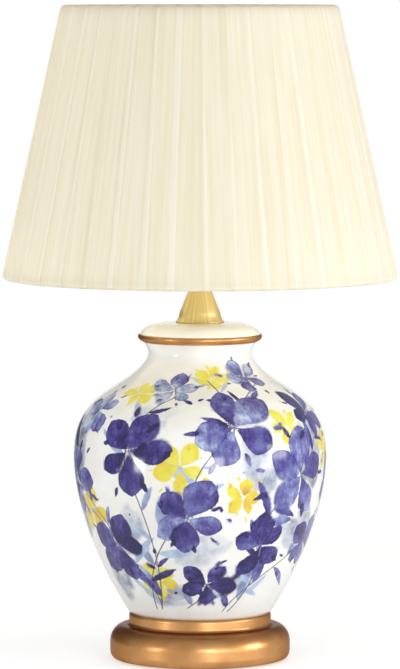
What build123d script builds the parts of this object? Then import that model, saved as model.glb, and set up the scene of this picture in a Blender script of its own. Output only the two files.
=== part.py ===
# Porcelain table lamp: a turned base, a hollow jar held by a threaded rod, a brass
# cone, a lampholder with a rotary switch, a bulb and a pleated shade on a wire frame.
# All lengths are in millimetres, +Z is up, and the origin is on the table under the axis.
from build123d import *
import math
import os

UPRIGHT = (Align.CENTER, Align.CENTER, Align.MIN)

# Clearances shared by all pieces
slip = 0.3               # radial room where one turned piece drops into another
run = 0.05               # radial room of a spindle or a thread in its hole
skin = 0.1               # room between the layers of the shade
overrun = 2.0            # how far a cutting tool runs past a face
oval_share = 0.5523      # where the handles of a quarter oval stand

# Felt pad
felt_thickness = 1.5
felt_inset = 13.0        # how far the felt stays inside the foot's edge

# Turned base of two steps
foot_radius = 91.3
foot_height = 33.5
foot_top_round = 14.0           # how far the rounded top reaches in, and how far down
foot_top_fall = 17.0
foot_bottom_round = 5.0        # the same for the rounded bottom
foot_bottom_rise = 8.0
collar_radius = 72.0
collar_height = 13.0
collar_cove = 3.2              # hollow round where the collar meets the foot
collar_top_round = 3.0
recess_radius = 32.0
recess_depth = 22.5

# Cord inlet at the back of the foot
cord_hole_radius = 3.6
bush_wall = 1.5
bush_length = 16.0
bush_flange_radius = 6.8
bush_flange_thickness = 2.2
bush_edge_round = 0.8
bush_seat_depth = 1.8
cord_passage_radius = 4.4
inlet_height_share = 0.37    # share of the foot's height

# Threaded rod with its nuts and washers
rod_radius = 5.0
rod_bore_radius = 3.5
rod_hole_radius = 5.4
rod_tail = 6.0           # length of rod below the base nut
rod_chamfer = 0.6
nut_across_flats = 17.0
base_nut_height = 5.0
lid_nut_height = 4.0
washer_radius = 15.0
washer_thickness = 1.5

# Jar
jar_height = 275.0
jar_foot_radius = 71.8
jar_belly_radius = 127.9
jar_neck_radius = 52.2
jar_mouth_radius = 57.0
jar_wall = 5.0
jar_floor = 7.0
jar_underside_depth = 3.0
jar_foot_ring_width = 14.0
# Outline from the foot up: radius as a share of the belly's, height as a share of the jar's
jar_outline_shares = [(0.7224, 0.1309), (0.8835, 0.3055), (1.0, 0.5745), (0.9695, 0.6873),
                      (0.8280, 0.7855), (0.6120, 0.8553)]
jar_neck_low_share = 0.9185      # heights of the last two points below the mouth
jar_neck_high_share = 0.9564
jar_neck_low_bulge = 5.4         # how much wider the neck is at the lower of them

# Ring on the jar's mouth
ring_height = 7.4
ring_radius = 62.9
ring_low_radius = 58.4
ring_top_radius = 61.9
ring_bore_radius = 44.0
ring_spigot_depth = 6.0
ring_widest_share = 0.68         # share of the ring's height
ring_lower_shares = (0.56, 0.23) # shares of the flare and of the height, for one point between
ring_top_edge_share = 0.94       # share of the ring's height, for the point below its top edge
ring_edge_step = 0.6

# Lid
lid_height = 11.8
lid_radius = 61.4
lid_flat_radius = 28.0
lid_spigot_depth = 4.0
# Dome from its edge to the flat: share of the way in, and share of the height
lid_dome_shares = [(0.02, 0.11), (0.09, 0.33), (0.18, 0.54), (0.28, 0.69), (0.41, 0.82), (0.63, 0.92)]

# Spun brass cone
cone_height = 44.3
cone_foot_radius = 24.0
cone_top_radius = 6.8
cone_wall = 0.9
cone_top_wall = 1.5
cone_bead = 0.6
cone_bead_height = 1.4
cone_waist_share = 0.17          # height share of the point where the flare straightens
cone_waist_radius_share = 0.89   # its radius as a share of the foot's

# Brass bush between the cone and the lampholder
bush_ring_radius = 8.6
bush_ring_height = 5.5
bush_ring_round = 1.5

# Lampholder with an Edison screw of 27 mm
holder_radius = 20.0
holder_wall = 1.2
cap_boss_radius = 9.0
cap_boss_height = 4.0
cap_boss_bore_depth = 8.0
cap_dome_height = 6.5
cap_side_height = 11.0
cap_ledge_height = 3.0
cap_ledge = 1.2
body_low_height = 14.0
shoulder_radius = 25.0
shoulder_height = 2.5
skirt_radius = 19.5
skirt_height = 24.5
skirt_wall = 2.5
thread_pitch = 2.5
thread_depth = 0.5
insert_floor = 3.0
insert_wall = 2.5
insert_wall_height = 32.0
edison_pitch = 3.6
edison_depth = 0.7
screw_bore_radius = 13.35
screw_shell_wall = 0.5
screw_shell_height = 28.0
screw_shell_floor = 0.8
screw_shell_hole_radius = 6.0
contact_width = 5.0
contact_thickness = 0.6
contact_reach = 4.0
terminal_head_radius = 2.6
terminal_head_height = 1.8
terminal_shank_radius = 1.5
terminal_shank_length = 4.0
terminal_spread = 10.0

# Rotary switch
spindle_radius = 2.0
spindle_length = 27.0
spindle_start = 8.0
switch_boss_radius = 4.5
switch_boss_length = 2.5
knob_radius = 7.0
knob_length = 14.0
knob_gap = 1.0
knob_flute_radius = 1.1
knob_flutes = 16
knob_round = 1.2

# Shade ring nut
ring_nut_radius = 26.0
ring_nut_height = 8.0
ring_nut_flute_radius = 1.3
ring_nut_flutes = 24

# Shade
shade_bottom_radius = 200.5
shade_top_radius = 140.0
shade_height = 275.4
shade_low = 386.6
pleats = 40
pleat_turn = 2.0                 # degrees from +X to the first fold
pleat_step_bottom = 1.7
pleat_step_top = 1.2
pleat_edge_share = 0.06          # share of a pleat taken by its overlap edge
cloth_wall = 1.0
hem_height = 3.2
hem_width = 5.0
rim_round = 5.0
# Rounded rim: share of the rim round taken off the radius, and share of it in height
rim_round_shares = [(0.80, 0.0), (0.32, 0.30), (0.0, 1.0)]
liner_thickness = 0.8
wire_radius = 2.0
spider_wire_radius = 1.8
spider_arms = 3
spider_plate_radius = 28.0
spider_plate_thickness = 1.5
spider_hole_room = 0.7

# Bulb
bulb_length = 110.0
bulb_radius = 30.0
bulb_cap_radius = 13.1
bulb_cap_height = 20.0
bulb_cap_wall = 0.6
bulb_insulator_height = 4.0
bulb_contact_radius = 4.6
bulb_contact_height = 1.5
bulb_housing_height = 36.0
bulb_neck_radius = 14.0
bulb_neck_height = 5.0
bulb_globe_wall = 1.2
bulb_housing_wall = 1.6
bulb_housing_mid_shares = (0.62, 0.55)   # shares of the flare and of the height


def turned(*edges):
    """A solid turned from a closed outline of radius and height."""
    return revolve(Plane.XZ * make_face(Wire(edges)), Axis.Z)


def chain(*points):
    """Straight edges through points of radius and height."""
    return [Line(a, b) for a, b in zip(points[:-1], points[1:])]


def ring(outer, inner, low, high):
    """A plain ring or disc between two heights."""
    solid = Pos(0, 0, low) * Cylinder(outer, high - low, align=UPRIGHT)
    if inner:
        solid -= Pos(0, 0, low) * Cylinder(inner, high - low, align=UPRIGHT)
    return solid


def hex_nut(low, height):
    """A hexagon nut on the rod, standing on a height."""
    nut = Pos(0, 0, low) * extrude(RegularPolygon(nut_across_flats / 2, 6, major_radius=False), height)
    return nut - ring(rod_radius + run, 0, low - overrun, low + height + overrun)


def quarter_oval(start, end, leaves_level):
    """A quarter of an oval that leaves its start level or upright and ends the other way."""
    across, up = end[0] - start[0], end[1] - start[1]
    if leaves_level:
        first = (start[0] + oval_share * across, start[1])
        second = (end[0], end[1] - oval_share * up)
    else:
        first = (start[0], start[1] + oval_share * up)
        second = (end[0] - oval_share * across, end[1])
    return Bezier(start, first, second, end)


def normal_inset(points, wall):
    """The same outline moved inwards by a wall, square to it."""
    inner = []
    for i, (radius, height) in enumerate(points):
        before = points[max(i - 1, 0)]
        after = points[min(i + 1, len(points) - 1)]
        along_r, along_z = after[0] - before[0], after[1] - before[1]
        length = math.hypot(along_r, along_z)
        inner.append((radius - wall * along_z / length, height + wall * along_r / length))
    return inner


# Heights of the stack, from the table up
foot_low = felt_thickness
foot_high = foot_low + foot_height
collar_high = foot_high + collar_height
jar_low = collar_high
jar_high = jar_low + jar_height
ring_high = jar_high + ring_height
lid_high = ring_high + lid_height
cone_high = lid_high + cone_height
holder_low = cone_high + bush_ring_height
cap_dome_low = holder_low + cap_boss_height
cap_side_low = cap_dome_low + cap_dome_height
body_low = cap_side_low + cap_side_height
shoulder_low = body_low + body_low_height
shoulder_high = shoulder_low + shoulder_height
skirt_high = shoulder_high + skirt_height
plate_high = shoulder_high + spider_plate_thickness
recess_high = foot_low + recess_depth
base_washer_low = recess_high - washer_thickness
base_nut_low = base_washer_low - base_nut_height
rod_low = base_nut_low - rod_tail
rod_high = holder_low + cap_boss_bore_depth - overrun


def felt_pad():
    return ring(foot_radius - felt_inset, 0, 0, felt_thickness)


def base_plinth():
    """Foot and collar turned in one piece, with a recess below and the cord's passage."""
    edge_low = foot_radius - foot_bottom_round
    edge_top = foot_radius - foot_top_round
    solid = turned(
        *chain((recess_radius, foot_low), (edge_low, foot_low)),
        quarter_oval((edge_low, foot_low), (foot_radius, foot_low + foot_bottom_rise), True),
        *chain((foot_radius, foot_low + foot_bottom_rise), (foot_radius, foot_high - foot_top_fall)),
        quarter_oval((foot_radius, foot_high - foot_top_fall), (edge_top, foot_high), False),
        *chain((edge_top, foot_high), (collar_radius + collar_cove, foot_high)),
        CenterArc((collar_radius + collar_cove, foot_high + collar_cove), collar_cove, 180, 90),
        *chain((collar_radius, foot_high + collar_cove), (collar_radius, collar_high - collar_top_round)),
        CenterArc((collar_radius - collar_top_round, collar_high - collar_top_round),
                  collar_top_round, 0, 90),
        *chain((collar_radius - collar_top_round, collar_high), (rod_hole_radius, collar_high),
               (rod_hole_radius, recess_high), (recess_radius, recess_high), (recess_radius, foot_low)),
    )
    seat = foot_radius - bush_seat_depth
    solid -= along_back(bush_flange_radius + slip, seat, foot_radius + overrun)
    solid -= along_back(cord_hole_radius + bush_wall + run, seat - bush_length, seat)
    solid -= along_back(cord_passage_radius, recess_radius - overrun, seat - bush_length)
    return solid


def along_back(radius, near, far):
    """A bar along +Y at the height of the cord inlet."""
    height = foot_low + foot_height * inlet_height_share
    start = Plane(origin=(0, near, height), x_dir=(1, 0, 0), z_dir=(0, 1, 0))
    return extrude(start * Circle(radius), far - near)


def cord_inlet_bush():
    """Plastic bush pushed into the back of the foot."""
    seat = foot_radius - bush_seat_depth
    flange = along_back(bush_flange_radius, seat, seat + bush_flange_thickness)
    flange = fillet(flange.edges().sort_by(Axis.Y)[-1], bush_edge_round)
    solid = flange + along_back(cord_hole_radius + bush_wall, seat - bush_length, seat)
    return solid - along_back(cord_hole_radius, seat - bush_length - overrun, foot_radius + overrun)


def base_washer():
    return ring(washer_radius, rod_radius + slip, base_washer_low, recess_high)


def base_nut():
    return hex_nut(base_nut_low, base_nut_height)


def hollow_rod():
    """Threaded tube that ties the base, the jar, the lid and the lampholder together."""
    solid = ring(rod_radius, rod_bore_radius, rod_low, rod_high)
    ends = solid.edges().filter_by(GeomType.CIRCLE).filter_by(lambda e: e.radius > rod_bore_radius + run)
    return chamfer(ends, rod_chamfer)


def jar_cushion():
    """Soft washer in the hollow under the jar, which centres it on the collar."""
    return ring(jar_foot_radius - jar_foot_ring_width - slip, rod_hole_radius, jar_low,
                jar_low + jar_underside_depth)


def jar_outline():
    """Outer outline of the jar, from its foot to its mouth."""
    points = [(jar_foot_radius, jar_low)]
    points += [(jar_belly_radius * r, jar_low + jar_height * z) for r, z in jar_outline_shares]
    points += [(jar_neck_radius + jar_neck_low_bulge, jar_low + jar_height * jar_neck_low_share),
               (jar_neck_radius, jar_low + jar_height * jar_neck_high_share),
               (jar_mouth_radius, jar_high)]
    return points


def jar():
    """Cast porcelain jar with a hole in its floor, open at the mouth."""
    outer = jar_outline()
    inner = normal_inset(outer, jar_wall)[1:-1]
    bore = inner[-1][0]
    floor = jar_low + jar_underside_depth + jar_floor
    inner_foot = inner[0][0] - (inner[0][1] - floor) * (inner[1][0] - inner[0][0]) / (inner[1][1] - inner[0][1])
    ring_inner = jar_foot_radius - jar_foot_ring_width
    return turned(
        Spline(*outer),
        *chain(outer[-1], (bore, jar_high), inner[-1]),
        Spline(*inner[::-1]),
        *chain(inner[0], (inner_foot - jar_wall, floor), (rod_hole_radius, floor),
               (rod_hole_radius, jar_low + jar_underside_depth),
               (ring_inner, jar_low + jar_underside_depth), (ring_inner, jar_low), outer[0]),
    )


def jar_mouth_bore():
    return normal_inset(jar_outline(), jar_wall)[-2][0]


def neck_ring():
    """Turned ring that finishes the mouth, with a spigot inside the jar."""
    spigot = jar_mouth_bore() - slip
    flare = ring_radius - ring_low_radius
    widest = jar_high + ring_height * ring_widest_share
    lower = (ring_low_radius + flare * ring_lower_shares[0], jar_high + ring_height * ring_lower_shares[1])
    upper = (ring_radius - ring_edge_step, jar_high + ring_height * ring_top_edge_share)
    return turned(
        *chain((ring_bore_radius, jar_high - ring_spigot_depth), (spigot, jar_high - ring_spigot_depth),
               (spigot, jar_high), (ring_low_radius, jar_high)),
        Spline((ring_low_radius, jar_high), lower, (ring_radius, widest), upper,
               (ring_top_radius, ring_high)),
        *chain((ring_top_radius, ring_high), (ring_bore_radius, ring_high),
               (ring_bore_radius, jar_high - ring_spigot_depth)),
    )


def lid():
    """Low domed lid, lying on the ring and held by the nut under the cone."""
    span = lid_radius - lid_flat_radius
    dome = [(lid_radius - span * r, ring_high + lid_height * z) for r, z in lid_dome_shares]
    spigot = ring_bore_radius - slip
    return turned(
        Spline((lid_radius, ring_high), *dome, (lid_flat_radius, lid_high)),
        *chain((lid_flat_radius, lid_high), (rod_hole_radius, lid_high),
               (rod_hole_radius, ring_high - lid_spigot_depth), (spigot, ring_high - lid_spigot_depth),
               (spigot, ring_high), (lid_radius, ring_high)),
    )


def lid_washer():
    return ring(washer_radius, rod_radius + slip, lid_high, lid_high + washer_thickness)


def lid_nut():
    return hex_nut(lid_high + washer_thickness, lid_nut_height)


def neck_cone():
    """Spun brass cone with a rolled bead at its foot and a flat, pierced top."""
    waist = (cone_foot_radius * cone_waist_radius_share, lid_high + cone_height * cone_waist_share)
    bead = cone_foot_radius + cone_bead
    bead_high = lid_high + cone_bead_height
    return turned(
        *chain((cone_foot_radius - cone_wall, lid_high), (cone_foot_radius, lid_high)),
        ThreePointArc((cone_foot_radius, lid_high), (bead, (lid_high + bead_high) / 2),
                      (cone_foot_radius, bead_high)),
        *chain((cone_foot_radius, bead_high), waist, (cone_top_radius, cone_high),
               (rod_radius + run, cone_high), (rod_radius + run, cone_high - cone_top_wall),
               (cone_top_radius - cone_wall, cone_high - cone_top_wall),
               (waist[0] - cone_wall, waist[1]), (cone_foot_radius - cone_wall, bead_high),
               (cone_foot_radius - cone_wall, lid_high)),
    )


def cone_bush():
    """Turned brass bush that clamps the cone's top."""
    solid = ring(bush_ring_radius, 0, cone_high, holder_low)
    solid = fillet(solid.edges().filter_by(GeomType.CIRCLE), bush_ring_round)
    return solid - ring(rod_radius + run, 0, cone_high - overrun, holder_low + overrun)


def along_side(radius, near, far):
    """A bar along +X at the height of the switch."""
    start = Plane(origin=(near, 0, switch_height()), x_dir=(0, 1, 0), z_dir=(1, 0, 0))
    return extrude(start * Circle(radius), far - near)


def switch_height():
    return cap_side_low + cap_side_height / 2


def holder_cap():
    """Lower half of the lampholder, screwed on the rod, with the switch's boss."""
    inner = holder_radius - holder_wall - cap_ledge
    rim = holder_radius - holder_wall
    ledge = body_low - cap_ledge_height
    solid = turned(
        *chain((rod_radius + run, holder_low), (cap_boss_radius, holder_low),
               (cap_boss_radius, cap_dome_low)),
        ThreePointArc((cap_boss_radius, cap_dome_low),
                      (cap_boss_radius + (holder_radius - cap_boss_radius) * math.sin(math.pi / 4),
                       cap_dome_low + cap_dome_height * (1 - math.cos(math.pi / 4))),
                      (holder_radius, cap_side_low)),
        *chain((holder_radius, cap_side_low), (holder_radius, body_low), (rim, body_low), (rim, ledge),
               (inner, ledge), (inner, cap_side_low), (cap_boss_radius, cap_dome_low + cap_ledge * 2),
               (rod_radius + run, cap_dome_low + cap_ledge * 2), (rod_radius + run, holder_low)),
    )
    boss = along_side(switch_boss_radius, inner + cap_ledge, holder_radius + switch_boss_length)
    return solid + boss - along_side(spindle_radius + run, 0, holder_radius + switch_boss_length + overrun)


def holder_body():
    """Upper half of the lampholder, with a shoulder and an outside thread for the shade."""
    bore = skirt_radius - skirt_wall
    solid = turned(*chain(
        (bore, body_low), (holder_radius, body_low), (holder_radius, shoulder_low),
        (shoulder_radius, shoulder_low), (shoulder_radius, shoulder_high), (skirt_radius, shoulder_high),
        (skirt_radius, skirt_high - thread_depth), (skirt_radius - thread_depth, skirt_high),
        (bore, skirt_high), (bore, body_low)))
    turns = int((skirt_height - thread_pitch) / thread_pitch)
    for i in range(turns):
        low = shoulder_high + thread_pitch * (i + 0.5)
        solid -= ring(skirt_radius + overrun, skirt_radius - thread_depth, low, low + thread_pitch / 2)
    return solid


def insert_radius():
    return skirt_radius - skirt_wall - slip


def insert_floor_high():
    return body_low + insert_floor


def holder_insert():
    """Moulded block that holds the switch, the terminals and the screw shell."""
    flange = holder_radius - holder_wall - run
    block = holder_radius - holder_wall - cap_ledge - slip
    solid = ring(block, 0, cap_side_low + slip, body_low - cap_ledge_height)
    solid += ring(flange, 0, body_low - cap_ledge_height, body_low)
    solid += ring(insert_radius(), 0, body_low, insert_floor_high())
    solid += ring(insert_radius(), insert_radius() - insert_wall, insert_floor_high(),
                  insert_floor_high() + insert_wall_height)
    solid -= along_side(spindle_radius + run, spindle_start - run, holder_radius)
    for side in (-1, 1):
        solid -= Pos(0, side * terminal_spread, cap_side_low) * Cylinder(
            terminal_shank_radius + run, slip + terminal_shank_length + run, align=UPRIGHT)
    return solid


def edison_wave(radius, depth, low, high, turns_up):
    """Rounded thread profile between two heights, as points of radius and height."""
    turns = int((high - low) / edison_pitch)
    start = (low + high - turns * edison_pitch) / 2
    points = [(radius, low)]
    for i in range(2 * turns + 1):
        points.append((radius + (depth if i % 2 else 0), start + i * edison_pitch / 2))
    points.append((radius, high))
    return points if turns_up else points[::-1]


def screw_shell():
    """Brass screw contact, rolled to the thread."""
    low = insert_floor_high()
    high = low + screw_shell_height
    inside = edison_wave(screw_bore_radius, edison_depth - screw_shell_wall,
                         low + screw_shell_floor, high, True)
    outside = [(r + screw_shell_wall, z) for r, z in inside]
    return turned(*chain(
        (screw_shell_hole_radius, low), (screw_bore_radius + screw_shell_wall, low), *outside,
        *inside[::-1], (screw_shell_hole_radius, low + screw_shell_floor), (screw_shell_hole_radius, low)))


def contact_high():
    return insert_floor_high() + screw_shell_floor + contact_reach


def centre_contact():
    """Sprung brass tongue under the bulb's tip."""
    low = insert_floor_high()
    half = screw_shell_hole_radius - contact_thickness - run
    tip = contact_high() - run
    outline = Polyline(
        (-half / 2, low), (half / 2, low), (half / 2, low + contact_thickness),
        (-half / 4, low + contact_thickness), (half / 2, tip - contact_thickness), (half / 2, tip),
        (-half / 4, tip), (-half / 2, tip - contact_thickness), (-half / 4, tip - contact_thickness),
        (-half / 2, low + contact_thickness), close=True)
    return extrude(Plane.XZ * make_face(outline), contact_width / 2, both=True)


def terminal_screws():
    """Two brass screws under the insert that take the cord's wires."""
    low = cap_side_low + slip
    screws = []
    for side in (-1, 1):
        screw = Pos(0, side * terminal_spread, low - terminal_head_height) * Cylinder(
            terminal_head_radius, terminal_head_height, align=UPRIGHT)
        screw += Pos(0, side * terminal_spread, low) * Cylinder(
            terminal_shank_radius, terminal_shank_length, align=UPRIGHT)
        screws.append(screw)
    return Compound(children=screws)


def switch_spindle():
    return along_side(spindle_radius, spindle_start, spindle_start + spindle_length)


def switch_knob():
    """Fluted knob on the spindle."""
    near = holder_radius + switch_boss_length + knob_gap
    solid = along_side(knob_radius, near, near + knob_length)
    solid = fillet(solid.edges().sort_by(Axis.X)[-1], knob_round)
    for i in range(knob_flutes):
        turn = 2 * math.pi * i / knob_flutes
        flute = along_side(knob_flute_radius, near - overrun, near + knob_length + overrun)
        solid -= Pos(0, knob_radius * math.cos(turn), knob_radius * math.sin(turn)) * flute
    return solid - along_side(spindle_radius + run, near - overrun, spindle_start + spindle_length + run)


def shade_ring_nut():
    """Moulded ring screwed down on the spider's plate."""
    solid = ring(ring_nut_radius, skirt_radius + 2 * run, plate_high, plate_high + ring_nut_height)
    for i in range(ring_nut_flutes):
        turn = 2 * math.pi * i / ring_nut_flutes
        solid -= Pos(ring_nut_radius * math.cos(turn), ring_nut_radius * math.sin(turn), 0) * ring(
            ring_nut_flute_radius, 0, plate_high - overrun, plate_high + ring_nut_height + overrun)
    return solid


# The shade narrows steadily from its bottom rim to its top rim
shade_high = shade_low + shade_height
shade_taper = (shade_bottom_radius - shade_top_radius) / shade_height
cavity_low = shade_low + hem_height
cavity_high = shade_high - hem_height


def shade_radius(height):
    return shade_bottom_radius - shade_taper * (height - shade_low)


def pleat_step(height):
    up = (height - shade_low) / shade_height
    return pleat_step_bottom + (pleat_step_top - pleat_step_bottom) * up


def cloth_inner(height):
    """Radius of the cloth's smooth inner side."""
    return shade_radius(height) - pleat_step(height) - cloth_wall


def liner_inner(height):
    return cloth_inner(height) - skin - liner_thickness


def pleat_section(height, taken_off):
    """Saw-toothed outline of the overlapping pleats at one height."""
    high = shade_radius(height) - taken_off
    low = high - pleat_step(height)
    points = []
    for i in range(pleats):
        turn = math.radians(pleat_turn) + 2 * math.pi * i / pleats
        after = turn + 2 * math.pi * pleat_edge_share / pleats
        points.append((high * math.cos(turn), high * math.sin(turn)))
        points.append((low * math.cos(after), low * math.sin(after)))
    return Plane.XY.offset(height) * make_face(Polyline(*points, close=True))


def frustum(radius_at, low, high):
    """A cone's frustum whose radius follows a rule of the height."""
    return turned(*chain((0, low), (radius_at(low), low), (radius_at(high), high), (0, high), (0, low)))


def cloth_cavity():
    """Many-sided space inside the cloth, just clear of the lining all round."""
    levels = [Plane.XY.offset(z) * RegularPolygon(cloth_inner(z), 2 * pleats, major_radius=False)
              for z in (cavity_low, cavity_high)]
    return loft(levels, ruled=True)


def pleated_shade():
    """Pleated sheer cloth, its edges turned round the rims."""
    bottom = [pleat_section(shade_low + rim_round * z, rim_round * r) for r, z in rim_round_shares]
    top = [pleat_section(shade_high - rim_round * z, rim_round * r) for r, z in rim_round_shares[::-1]]
    solid = loft(bottom + top, ruled=True)
    solid -= cloth_cavity()
    solid -= ring(cloth_inner(shade_low) - hem_width, 0, shade_low - overrun, cavity_low + overrun)
    return solid - ring(cloth_inner(shade_high) - hem_width, 0, cavity_high - overrun, shade_high + overrun)


def shade_liner():
    """Stiff translucent lining that the cloth is laid on."""
    low, high = cavity_low + skin, cavity_high - skin
    outer = frustum(lambda z: cloth_inner(z) - skin, low, high)
    return outer - frustum(liner_inner, low - overrun, high + overrun)


def wire_ring(height):
    """A welded wire ring inside the lining."""
    radius = liner_inner(height) - (wire_radius + skin) * math.sqrt(1 + shade_taper ** 2)
    return Pos(0, 0, height) * Torus(radius, wire_radius)


bottom_wire_height = cavity_low + skin + wire_radius
top_wire_height = cavity_high - skin - wire_radius


def shade_bottom_ring():
    return wire_ring(bottom_wire_height)


def shade_top_ring():
    return wire_ring(top_wire_height)


def shade_spider():
    """Fitter plate with three arms down to the bottom ring, welded in one piece."""
    hole = skirt_radius + spider_hole_room
    plate = ring(spider_plate_radius, hole, shoulder_high, plate_high)
    middle = (shoulder_high + plate_high) / 2
    reach = liner_inner(bottom_wire_height) - wire_radius
    start = Vector(0, spider_plate_radius - spider_wire_radius, middle)
    end = Vector(0, reach - wire_radius, bottom_wire_height)
    arm = extrude(Plane(origin=start, z_dir=end - start) * Circle(spider_wire_radius), (end - start).length)
    arm -= ring(hole + slip, 0, shoulder_low, plate_high + overrun)
    radius = liner_inner(bottom_wire_height) - (wire_radius + skin) * math.sqrt(1 + shade_taper ** 2)
    arm -= Pos(0, 0, bottom_wire_height) * Torus(radius, wire_radius + skin)
    arms = [Rot(0, 0, 360 * i / spider_arms) * arm for i in range(spider_arms)]
    solid = plate
    for piece in arms:
        solid += piece
    solid -= ring(shoulder_radius + slip, 0, shoulder_low - overrun, shoulder_high)
    return solid - ring(ring_nut_radius + slip, 0, plate_high, plate_high + overrun)


# Heights of the bulb, from its tip up
bulb_low = contact_high()
insulator_low = bulb_low + bulb_contact_height
bulb_cap_low = insulator_low + bulb_insulator_height
bulb_cap_high = bulb_cap_low + bulb_cap_height
housing_high = bulb_cap_high + bulb_housing_height
bulb_high = bulb_low + bulb_length


def bulb_contact():
    return ring(bulb_contact_radius, 0, bulb_low, insulator_low)


def bulb_insulator():
    """Glass cone between the tip and the screw cap."""
    wide = bulb_cap_radius - edison_depth
    return turned(*chain((0, insulator_low), (bulb_contact_radius, insulator_low), (wide, bulb_cap_low),
                         (0, bulb_cap_low), (0, insulator_low)))


def bulb_screw_cap():
    """Rolled metal cap of the bulb."""
    root = bulb_cap_radius - edison_depth
    outside = edison_wave(root, edison_depth, bulb_cap_low, bulb_cap_high, True)
    inner = root - bulb_cap_wall
    return turned(*chain((inner, bulb_cap_low), *outside, (inner, bulb_cap_high), (inner, bulb_cap_low)))


def bulb_housing():
    """Flared plastic housing between the cap and the globe."""
    root = bulb_cap_radius - edison_depth
    neck_high = bulb_cap_high + bulb_neck_height
    flare = bulb_radius - bulb_neck_radius
    rise = housing_high - neck_high
    middle = (bulb_neck_radius + flare * bulb_housing_mid_shares[0],
              neck_high + rise * bulb_housing_mid_shares[1])
    wall = bulb_housing_wall
    return turned(
        *chain((root - wall, bulb_cap_high), (bulb_neck_radius, bulb_cap_high), (bulb_neck_radius, neck_high)),
        Spline((bulb_neck_radius, neck_high), middle, (bulb_radius, housing_high)),
        *chain((bulb_radius, housing_high), (bulb_radius - wall, housing_high)),
        Spline((bulb_radius - wall, housing_high), (middle[0] - wall, middle[1]),
               (bulb_neck_radius - wall, neck_high)),
        *chain((bulb_neck_radius - wall, neck_high), (root - wall, bulb_cap_high)),
    )


def bulb_globe():
    """Opal dome of the bulb, a little flatter than a half ball below its top."""
    rise = bulb_high - housing_high
    straight = rise - bulb_radius
    shoulder = housing_high + straight
    inner = bulb_radius - bulb_globe_wall
    return turned(
        *chain((inner, housing_high), (bulb_radius, housing_high), (bulb_radius, shoulder)),
        CenterArc((0, shoulder), bulb_radius, 0, 90),
        *chain((0, bulb_high), (0, shoulder + inner)),
        CenterArc((0, shoulder), inner, 0, 90),
        *chain((inner, shoulder), (inner, housing_high)),
    )


NODES = [
    felt_pad, base_plinth, cord_inlet_bush, base_washer, base_nut, hollow_rod, jar_cushion, jar,
    neck_ring, lid, lid_washer, lid_nut, neck_cone, cone_bush, holder_cap, holder_body,
    holder_insert, screw_shell, centre_contact, terminal_screws, switch_spindle, switch_knob,
    shade_ring_nut, shade_spider, shade_bottom_ring, shade_top_ring, shade_liner, pleated_shade,
    bulb_contact, bulb_insulator, bulb_screw_cap, bulb_housing, bulb_globe,
]

os.makedirs("parts", exist_ok=True)
for make in NODES:
    export_step(make(), f"parts/{make.__name__}.step")
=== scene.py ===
import bpy
import bmesh
import math
import random
import numpy as np
from mathutils import Matrix, Vector


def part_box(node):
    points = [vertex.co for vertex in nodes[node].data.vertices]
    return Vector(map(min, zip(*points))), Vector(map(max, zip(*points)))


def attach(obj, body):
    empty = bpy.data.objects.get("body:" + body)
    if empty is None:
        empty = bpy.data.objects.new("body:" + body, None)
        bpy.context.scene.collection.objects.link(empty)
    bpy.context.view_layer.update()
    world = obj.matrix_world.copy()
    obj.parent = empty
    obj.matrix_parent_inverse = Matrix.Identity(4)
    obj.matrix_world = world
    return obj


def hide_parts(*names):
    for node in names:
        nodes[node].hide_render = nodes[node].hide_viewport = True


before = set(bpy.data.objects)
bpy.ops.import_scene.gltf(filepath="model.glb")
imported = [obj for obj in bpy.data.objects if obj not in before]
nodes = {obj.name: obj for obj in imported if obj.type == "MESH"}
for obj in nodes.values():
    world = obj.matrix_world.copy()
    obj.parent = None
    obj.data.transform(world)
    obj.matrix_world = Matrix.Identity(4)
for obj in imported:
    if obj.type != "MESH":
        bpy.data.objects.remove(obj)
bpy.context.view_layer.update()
scene = bpy.context.scene
scene.view_settings.view_transform = "Standard"


# The camera stands in front of the lamp at about the height of the shade's top and looks
# a little down, from far enough away that the rims are almost flat.
CAMERA_DISTANCE = 4.6
CAMERA_HEIGHT = 0.690
CAMERA_PITCH = math.radians(4.48)
LENS = 245.6
SENSOR = 36.0

lens = bpy.data.cameras.new("camera")
lens.lens = LENS
lens.sensor_width = SENSOR
lens.sensor_fit = "AUTO"
camera = bpy.data.objects.new("camera", lens)
camera.location = (0, -CAMERA_DISTANCE, CAMERA_HEIGHT)
camera.rotation_euler = (math.pi / 2 - CAMERA_PITCH, 0, 0)
scene.collection.objects.link(camera)
scene.camera = camera


# The studio: a round white table top, a pale room that is darker on the left and behind,
# four soft lamps, whose reflections stand on the glaze and on the gilt base, and two fills.
FLOOR_RADIUS = 0.95
FLOOR_ROUNDS = 96
FLOOR_DROP = 0.0002
FLOOR_COLOUR = (0.78, 0.78, 0.77, 1)
FLOOR_GLOW = 0.51
FLOOR_MIRRORED = 0.6
# How bright the room is behind the lamp, what gloss shows of it there from left to right, and
# how bright the room in front of the lamp is from left to right
ROOM_BACK = 0.40
ROOM_BACK_MIRRORED = (0.18, 0.62)
ROOM_FRONT = (0.63, 0.68)
# The directions, to the right or to the back, between which each of these turns into the next,
# and those between which gloss shows the white background instead
ROOM_BACK_SIDES = (-0.6, 0.8)
ROOM_FRONT_SIDES = (-1.0, 1.0)
ROOM_DEPTH = (-0.35, 0.55)
BACKGROUND_DEPTH = (0.95, 0.99)
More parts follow.
